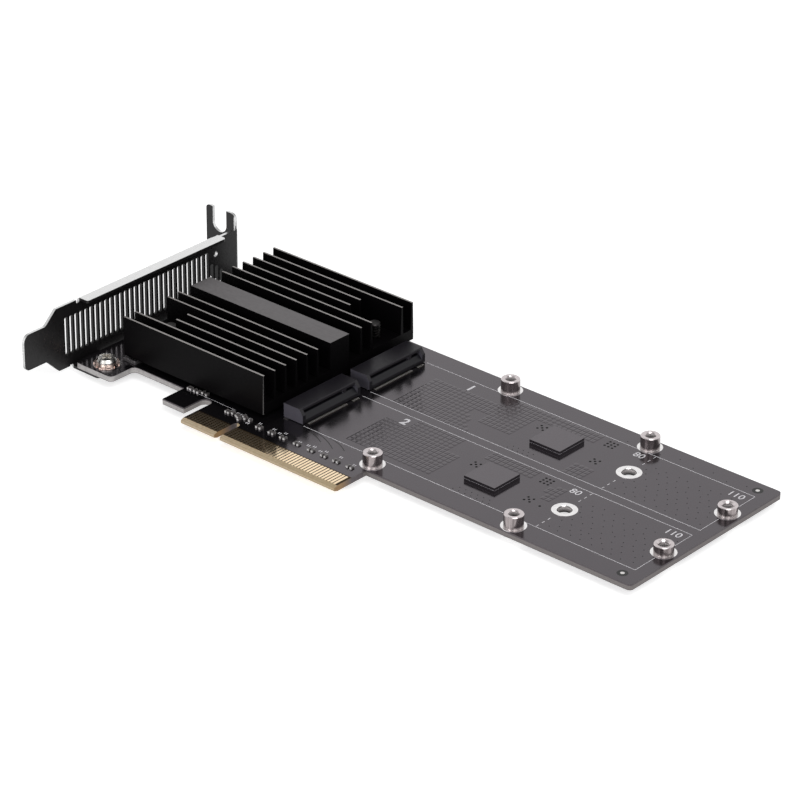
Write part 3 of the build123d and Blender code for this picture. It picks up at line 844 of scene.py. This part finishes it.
@dataclass
class MaskRelief:
    """Squares of buried copper that lift the mask on a 1.524 mm grid."""

    pitch: float = 1.524
    first_x: float = 19.69
    first_y: float = 17.82
    columns: int = 48
    rows: int = 33
    foot: float = 1.44
    top: float = 0.90
    height: float = 0.04
    fields: list[Field] = field(default_factory=lambda: [
        Field(20.4, 43.8, 53.2, 60.4), Field(20.4, 37.6, 43.4, 53.6, 0.68), Field(43.2, 54.6, 49.8, 64.5),
        Field(46.0, 72.3, 60.2, 64.5), Field(76.0, 82.0, 43.6, 49.4), Field(25.4, 48.6, 20.2, 34.6),
        Field(33.4, 48.6, 34.0, 39.3), Field(48.0, 52.6, 20.2, 31.6), Field(57.5, 71.6, 35.2, 39.4),
        Field(79.5, 82.2, 29.8, 36.3), Field(77.8, 83.6, 31.6, 34.8),
    ])

    def centres(self) -> np.ndarray:
        """Grid points whose column and row fall in any field.

        Returns:
            An (n, 2) array in mm.
        """
        x, y = np.meshgrid(self.first_x + self.pitch * np.arange(self.columns),
                           self.first_y + self.pitch * np.arange(self.rows))
        inside = np.zeros(x.shape, bool)
        for zone in self.fields:
            right = zone.right + zone.slope * (zone.high - y)
            inside |= (x > zone.left) & (x < right) & (y > zone.low) & (y < zone.high)
        return np.stack([x[inside], y[inside]], axis=1)

    def build(self, finishes: Finishes) -> None:
        """Makes the raised squares."""
        shape = tapered_pads(self.centres(), self.foot, self.top, 0.0, self.height)
        write_piece("mask_relief", shape, finishes.mask)


@dataclass
class Vias:
    """Plated holes drawn as black discs, painted shade for their dark insides: bold groups by the slots and fine
    strewn ones at the free end, on both faces.

    A strew is a start, a step and a count along X and along Y; every other row is moved by half a step.
    A zigzag is a first X, a step, a Y, a sway for every other hole, and a count.
    """

    group_radius: float = 0.34
    fine_radius: float = 0.15
    sides: int = 10
    proud: float = 0.012
    nines: tuple[Pair, ...] = ((76.1, 36.9), (76.1, 62.0))
    nine_pitch: float = 1.17
    fives: tuple[Pair, ...] = ((78.5, 27.1), (78.4, 52.7), (57.7, 31.8), (57.7, 57.4))
    five_pitch: float = 0.85
    lone: Pair = (82.5, 26.3)
    slot_step: float = 25.0
    strew_x: tuple[float, float, int] = (90.4, 3.2, 9)
    strew_y: tuple[float, float, int] = (45.0, 2.15, 8)
    strew_end: float = 117.4
    shift: float = 0.45
    seed: int = 7
    zigzags: tuple[tuple[float, float, float, float, int], ...] = (
        (78.0, 5.1, 66.2, 1.4, 8), (57.7, 0.8, 43.8, 1.4, 10), (61.3, 0.95, 18.9, 1.5, 13))

    def groups(self) -> np.ndarray:
        """The middles of the groups of nine and of five.

        Returns:
            An (n, 2) array in mm.
        """
        nine = np.array([(i, j) for i in (-1, 0, 1) for j in (-1, 0, 1)]) * self.nine_pitch
        five = np.array([(-1, -1), (1, -1), (0, 0), (-1, 1), (1, 1)]) * self.five_pitch
        return np.concatenate([nine + place for place in self.nines] + [five + place for place in self.fives]
                              + [np.array([self.lone])])

    def strewn(self) -> np.ndarray:
        """Fine holes: staggered rows, each hole moved a little at random from a fixed seed, and the zigzags.

        Returns:
            An (n, 2) array in mm.
        """
        (x, step, columns), (y, rise, lines) = self.strew_x, self.strew_y
        i, j = np.meshgrid(np.arange(columns), np.arange(lines))
        rows = np.stack([(x + step * i + step / 2 * (j % 2)).ravel(), (y + rise * j).ravel()], axis=1)
        rows = np.concatenate([rows, rows - (0.0, self.slot_step)])
        rows += np.random.default_rng(self.seed).uniform(-self.shift, self.shift, rows.shape)
        found = [rows[rows[:, 0] < self.strew_end]]
        for x, step, y, sway, count in self.zigzags:
            k = np.arange(count)
            found.append(np.stack([x + step * k, y + sway * (k % 2)], axis=1))
        return np.concatenate(found)

    def build(self, finishes: Finishes) -> None:
        """Makes the dots on the component side and again under the board.

        Args:
            finishes: the card's materials.
        """
        dots = []
        for places, radius in ((self.groups(), self.group_radius), (self.strewn(), self.fine_radius)):
            dots.append(flat_rings(places, 0.0, radius, self.proud, self.sides))
            dots.append(flat_rings(places, 0.0, radius, -BOARD_THICKNESS - self.proud, self.sides, upward=False))
        # The black discs are painted shade for the holes' insides
        write_piece("board_vias", joined(dots), finishes.hole)


@dataclass
class Traces:
    """Three curved tracks under the mask by the second slot's connector, seen as faint dark grooves."""

    width: float = 0.22
    proud: float = 0.008
    steps: int = 17
    runs: tuple[tuple[Pair, Pair, Pair], ...] = (
        ((13.9, 17.1), (18.6, 16.6), (21.7, 14.6)), ((17.6, 17.7), (22.9, 16.4), (26.2, 14.0)),
        ((21.9, 17.8), (26.4, 17.2), (29.2, 15.1)))

    def build(self, finishes: Finishes) -> None:
        """Carries each ribbon along its three points' parabola: the ends and the middle, blended by t squared.

        Args:
            finishes: the card's materials.
        """
        t = np.linspace(0, 1, self.steps)[:, None]
        shapes = []
        for start, bend, end in self.runs:
            path = (1 - t) ** 2 * np.array(start) + 2 * t * (1 - t) * np.array(bend) + t ** 2 * np.array(end)
            shapes.append(ribbon(path, self.width, self.proud))
        write_piece("buried_tracks", joined(shapes), finishes.groove)


# Bare metal and resin on the board

@dataclass
class Lands:
    """Bare tinned rings round the bracket screws and, below, the spigots; fiducial marks; open resin strips."""

    screws: tuple[Pair, ...] = ((-48.0, 8.8), (-49.3, 59.0))
    screw_radii: Pair = (1.9, 3.7)
    post_radii: Pair = (1.95, 3.25)
    bush_radii: Pair = (2.55, 3.25)
    ring_sides: int = 36
    fiducials: tuple[Pair, ...] = ((116.84, 67.79), (116.86, 14.86))
    dot_radius: float = 0.55
    dot_sides: int = 20
    clearing_radius: float = 1.4
    clearing_sides: int = 28
    proud: float = 0.02
    resin_spans: tuple[Pair, ...] = ((-12.55, -1.0), (1.0, 39.55))
    resin_y: Pair = (1.15, 6.3)

    def build(self, finishes: Finishes) -> None:
        """Makes the rings above and under the board, the marks' clearings and dots, and the resin strips.

        Args:
            finishes: the card's materials.
        """
        low = -BOARD_THICKNESS - self.proud
        marks = np.array(self.fiducials)
        rings = [
            flat_rings(np.array(self.screws), *self.screw_radii, self.proud, self.ring_sides),
            flat_rings(np.array(POSTS + LOW_POSTS), *self.post_radii, low, self.ring_sides, upward=False),
            flat_rings(np.array(BUSHES), *self.bush_radii, low, self.ring_sides, upward=False),
            flat_rings(marks, 0.0, self.dot_radius, self.proud, self.dot_sides),
        ]
        write_piece("bare_lands", joined(rings), finishes.tin)
        clearings = flat_rings(marks, 0.0, self.clearing_radius, self.proud / 2, self.clearing_sides)
        write_piece("fiducial_clearings", clearings, finishes.groove)
        low_y, high_y = self.resin_y
        middles = np.array([((a + b) / 2, (low_y + high_y) / 2) for a, b in self.resin_spans])
        sizes = np.array([(b - a, high_y - low_y) for a, b in self.resin_spans])
        strips = tapered_pads(middles, sizes, sizes - self.proud, 0.0, self.proud)
        write_piece("open_resin", strips, finishes.resin)


@dataclass
class SolderJoints:
    """Small fillets of solder over the connectors' lower leads, a fine pale row."""

    rows: int = 38
    pitch: float = 0.5
    key_offset: float = 6.1
    key_half: float = 1.0
    row_x: float = 13.1
    foot: Pair = (0.8, 0.24)
    top: Pair = (0.4, 0.1)
    height: float = 0.22

    def build(self, finishes: Finishes) -> None:
        """Sets a fillet at each lead, which stand on the pitch about the slot's middle save at the key.

        Args:
            finishes: the card's materials.
        """
        offset = (np.arange(self.rows) - (self.rows - 1) / 2) * self.pitch
        offset = offset[np.abs(offset - self.key_offset) > self.key_half]
        y = (np.array(SLOT_CENTRES)[:, None] + offset[None]).ravel()
        centres = np.stack([np.full(len(y), self.row_x), y], axis=1)
        shape = tapered_pads(centres, self.foot, self.top, 0.0, self.height)
        write_piece("solder_joints", shape, finishes.solder)


@dataclass
class TappedBores:
    """The threaded walls inside posts and bushes, dull grey where the tap cut them.

    A reach is a bore's radius, its lowest and its highest point, in mm.
    """

    ripple: float = 0.06
    pitch: float = 0.5
    rows_per_turn: int = 4
    dark_at: float = 1.25
    sides: int = 24
    post_reach: Triple = (1.29, 0.2, 3.15)
    low_post_reach: Triple = (1.29, 0.2, 1.85)
    bush_reach: Triple = (1.74, -1.5, -0.12)

    def wall(self, place: Pair, reach: Triple) -> Shape:
        """A tube that looks at its axis: its radius swings by the ripple as a sine of the height over the pitch.

        Args:
            place: the bore's middle in mm.
            reach: the bore's radius, its lowest and its highest point, in mm.

        Returns:
            Points in metres and four-cornered faces.
        """
        full, low, high = reach
        rows = int((high - low) / self.pitch * self.rows_per_turn) + 1
        angle, rise = np.meshgrid(2 * np.pi * np.arange(self.sides) / self.sides, np.linspace(low, high, rows))
        radius = full - self.ripple * (1 + np.sin(2 * np.pi * rise / self.pitch + angle)) / 2
        points = np.stack([place[0] + radius * np.cos(angle), place[1] + radius * np.sin(angle), rise], axis=2)
        i, j = np.meshgrid(np.arange(rows - 1), np.arange(self.sides), indexing="ij")
        here, along = i * self.sides + j, i * self.sides + (j + 1) % self.sides
        faces = np.stack([here, here + self.sides, along + self.sides, along], axis=2).reshape(-1, 4)
        return points.reshape(-1, 3) * MM, faces

    def build(self, finishes: Finishes) -> None:
        """Makes a wall in every post and bush, with its depth under the mouth as an attribute.

        Args:
            finishes: the card's materials.
        """
        walls, depths = [], []
        kinds = ((POSTS, self.post_reach), (LOW_POSTS, self.low_post_reach), (BUSHES, self.bush_reach))
        for place, reach in ((place, reach) for places, reach in kinds for place in places):
            walls.append(self.wall(place, reach))
            # The depth sets the thread's painted shade, full at dark_at mm under the mouth
            depths.append((reach[2] - walls[-1][0][:, 2] / MM) / self.dark_at)
        piece = write_piece("tapped_bores", joined(walls), finishes.thread, smooth=True)
        depth = piece.data.attributes.new("depth", "FLOAT", "POINT")
        depth.data.foreach_set("value", np.clip(np.concatenate(depths), 0.0, 1.0))


# Printed legend

@dataclass
class Legend:
    """Pale printed lines round both slots, the short module's dashes, part marks and plain numbers.

    A number is its digits, left edge, baseline, height and how far its strokes are thickened, in mm.
    """

    slot_width: float = 21.95
    start_x: float = 13.0
    end_x: float = 118.2
    line: float = 0.13
    post_clear: float = 3.5
    height: float = 0.02
    taper: float = 0.02
    dash_x: float = 88.07
    dash_offsets: tuple[float, ...] = (-10.2, -8.0, -5.8, 5.8, 8.0, 10.2)
    dash_length: float = 1.0
    dash_width: float = 0.169
    body_span: Pair = (-22.0, -5.5)
    body_y: float = 12.6
    body_width: float = 0.0585
    mark_bar: Pair = (0.24, 0.75)
    mark_step: float = 0.6
    marks: tuple[Pair, ...] = (
        (-5.9, 11.9), (-3.9, 11.8), (-2.6, 11.9), (0.5, 11.6), (1.4, 9.6), (4.0, 11.6), (8.7, 11.7), (11.1, 11.1),
        (12.3, 12.1), (17.9, 11.2), (20.7, 11.3), (22.3, 11.8), (24.9, 11.1), (26.2, 11.9), (30.8, 12.2),
        (35.9, 11.4))
    numbers: tuple[tuple[str, float, float, float, float], ...] = (
        ("1", 29.6, 60.3, 3.0, 0.12), ("2", 29.2, 35.4, 3.0, 0.12), ("80", 83.0, 61.4, 2.3, 0.02),
        ("80", 83.0, 36.5, 2.3, 0.02), ("110", 112.0, 61.4, 2.3, 0.02), ("110", 112.0, 36.5, 2.3, 0.02))
    type_size: float = 1.38
    curve_steps: int = 4

    def bars(self) -> tuple[np.ndarray, np.ndarray]:
        """Middles and sizes of all straight lines, in mm.

        Returns:
            Two (n, 2) arrays.
        """
        bars = []
        for y in SLOT_CENTRES:
            for side in (-1, 1):
                bars.append(((self.start_x + self.end_x) / 2, y + side * self.slot_width / 2,
                             self.end_x - self.start_x + self.line, self.line))
                # The end line stops at the low post
                bars.append((self.end_x, y + side * (self.slot_width / 2 + self.post_clear) / 2,
                             self.line, self.slot_width / 2 - self.post_clear))
            bars += [(self.dash_x, y + offset, self.dash_width, self.dash_length) for offset in self.dash_offsets]
        left, right = self.body_span
        bars.append(((left + right) / 2, self.body_y, right - left, self.body_width))
        bars += [(x + side * self.mark_step / 2, y, *self.mark_bar) for x, y in self.marks for side in (-1, 1)]
        return np.array(bars)[:, :2], np.array(bars)[:, 2:]

    def number(self, text: str, x: float, y: float, size: float, bold: float) -> Shape:
        """Outlines a plain number in the built-in typeface.

        Args:
            text: the digits.
            x: the left edge in mm.
            y: the baseline in mm.
            size: the digits' height in mm.
            bold: how far the strokes are thickened, in mm.

        Returns:
            Points in metres and a list of faces.
        """
        curve = bpy.data.curves.new("digits", "FONT")
        curve.body = text
        curve.size = size * self.type_size
        curve.offset = bold
        curve.resolution_u = self.curve_steps
        carrier = bpy.data.objects.new("digits", curve)
        bpy.context.scene.collection.objects.link(carrier)
        bpy.context.view_layer.update()
        mesh = bpy.data.meshes.new_from_object(carrier.evaluated_get(bpy.context.evaluated_depsgraph_get()))
        flat = np.zeros(len(mesh.vertices) * 3)
        mesh.vertices.foreach_get("co", flat)
        faces = [list(polygon.vertices) for polygon in mesh.polygons]
        points = (flat.reshape(-1, 3) + (x, y, 0)) * MM
        points[:, 2] = self.height * MM
        bpy.data.objects.remove(carrier)
        bpy.data.curves.remove(curve)
        bpy.data.meshes.remove(mesh)
        return points, faces

    def build(self, finishes: Finishes) -> None:
        """Makes the lines and the numbers as two pieces.

        Args:
            finishes: the card's materials.
        """
        middles, sizes = self.bars()
        lines = tapered_pads(middles, sizes, sizes - self.taper, 0.0, self.height)
        numbers = joined([self.number(*entry) for entry in self.numbers])
        write_piece("legend_lines", lines, finishes.ink)
        write_piece("legend_numbers", numbers, finishes.ink)


# Studio

@dataclass
class Studio:
    """Pale floor, even soft light with a bright low band round the card, and the photo's camera.

    The light falls off overhead between the two sines of elevation in band. A lamp is its name, its
    middle and its side in mm, and its power in watts.
    """

    azimuth: float = 41.2002
    elevation: float = 27.8286
    roll: float = 0.5185
    distance: float = 908.593
    focal_px: float = 3578.62
    frame_px: float = 800.0
    sensor_mm: float = 36.0
    clip: Pair = (0.05, 20.0)
    target: Triple = (21.465, 44.650, 0.0)
    floor_z: float = -4.05
    floor_half: float = 3000.0
    floor_glow: float = 0.62
    paper: str = "#e8e8e8"
    white: str = "#ffffff"
    ambient: float = 0.78
    overhead: float = 0.35
    band: Pair = (0.45, 0.85)
    lamps: tuple[tuple[str, Triple, float, float], ...] = (
        ("key", (500, -250, 700), 500, 3.0), ("front", (0, -700, 200), 400, 1.5))

    def world(self) -> None:
        """Lights the scene: white low down, darker overhead; the camera itself sees white."""
        world = bpy.data.worlds.new("studio")
        bpy.context.scene.world = world
        world.use_nodes = True
        tree = world.node_tree
        tree.nodes.clear()
        way = add_node(tree, "TexCoord").outputs["Generated"]
        rise = add_node(tree, "SeparateXYZ", {0: way}).outputs[2]
        band = add_node(tree, "MapRange", {
            "Value": rise, "From Min": self.band[0], "From Max": self.band[1], "To Min": 1.0,
            "To Max": self.overhead}, interpolation_type="SMOOTHSTEP")
        level = add_node(tree, "Math", {0: band, 1: self.ambient}, operation="MULTIPLY")
        sees = add_node(tree, "LightPath")
        glossy, soft, white = (add_node(tree, "Background", {"Color": srgb(self.white), "Strength": strength})
                               for strength in (band, level, 1.0))
        shine = add_node(tree, "MixShader", {0: sees.outputs["Is Glossy Ray"], 1: soft, 2: glossy})
        seen = add_node(tree, "MixShader", {0: sees.outputs["Is Camera Ray"], 1: shine, 2: white})
        add_node(tree, "OutputWorld", {"Surface": seen})

    def floor(self) -> None:
        """Lays a pale floor that keeps the card's shadow and is near white to the camera and to gloss."""
        corners = np.array([(-1, -1, 0), (1, -1, 0), (1, 1, 0), (-1, 1, 0)]) * self.floor_half
        corners[:, 2] = self.floor_z
        mesh = bpy.data.meshes.new("floor")
        mesh.from_pydata((corners * MM).tolist(), [], [(0, 1, 2, 3)])
        material = bpy.data.materials.new("pale_paper")
        material.use_nodes = True
        tree = material.node_tree
        tree.nodes.clear()
        sees = add_node(tree, "LightPath")
        shine = add_node(tree, "Math", {
            0: sees.outputs["Is Glossy Ray"], 1: sees.outputs["Is Transmission Ray"]}, operation="MAXIMUM")
        eye = add_node(tree, "Math", {0: sees.outputs["Is Camera Ray"], 1: shine}, operation="MAXIMUM")
        strength = add_node(tree, "Math", {0: eye, 1: self.floor_glow}, operation="MULTIPLY")
        paper = add_node(tree, "BsdfDiffuse", {"Color": srgb(self.paper)})
        glow = add_node(tree, "Emission", {"Color": srgb(self.white), "Strength": strength})
        both = add_node(tree, "AddShader", {0: paper, 1: glow})
        add_node(tree, "OutputMaterial", {"Surface": both})
        mesh.materials.append(material)
        plane = bpy.data.objects.new("floor", mesh)
        bpy.context.scene.collection.objects.link(plane)

    def lamp(self, name: str, place: Triple, size: float, power: float) -> None:
        """Hangs one square soft lamp that faces the card.

        Args:
            name: the lamp's name.
            place: its middle in mm.
            size: its side in mm.
            power: its power in watts.
        """
        data = bpy.data.lights.new(name, "AREA")
        data.shape = "SQUARE"
        data.size = size * MM
        data.energy = power
        lamp = bpy.data.objects.new(name, data)
        lamp.location = Vector(place) * MM
        aim = Vector(self.target) * MM - lamp.location
        lamp.rotation_mode = "QUATERNION"
        lamp.rotation_quaternion = aim.to_track_quat("-Z", "Y")
        bpy.context.scene.collection.objects.link(lamp)

    def camera(self) -> None:
        """Stands the camera where the photograph's was: direction from azimuth and elevation, then roll."""
        az, el, roll = (math.radians(v) for v in (self.azimuth, self.elevation, self.roll))
        gaze = Vector((-math.sin(az) * math.cos(el), math.cos(az) * math.cos(el), -math.sin(el)))
        right = gaze.cross(Vector((0, 0, 1))).normalized()
        up = right.cross(gaze)
        right, up = math.cos(roll) * right + math.sin(roll) * up, -math.sin(roll) * right + math.cos(roll) * up
        place = (Vector(self.target) - gaze * self.distance) * MM
        data = bpy.data.cameras.new("camera")
        data.sensor_width = self.sensor_mm
        data.lens = self.focal_px / self.frame_px * self.sensor_mm
        data.clip_start, data.clip_end = self.clip
        camera = bpy.data.objects.new("camera", data)
        turn = Matrix((right, up, -gaze)).transposed().to_4x4()
        camera.matrix_world = Matrix.Translation(place) @ turn
        bpy.context.scene.collection.objects.link(camera)
        bpy.context.scene.camera = camera

    def build(self) -> None:
        """Sets up world, floor, lamps, camera and the plain view transform."""
        self.world()
        self.floor()
        for entry in self.lamps:
            self.lamp(*entry)
        self.camera()
        bpy.context.scene.view_settings.view_transform = "Standard"


def main() -> None:
    """Dresses the card, prints its marks and sets up the studio."""
    logging.basicConfig(level=logging.INFO)
    finishes = Finishes()
    finishes.dress_nodes()
    for part in (MaskRelief(), Vias(), Traces(), Lands(), SolderJoints(), TappedBores(), Legend()):
        part.build(finishes)
    Studio().build()


if __name__ == "__main__":
    main()
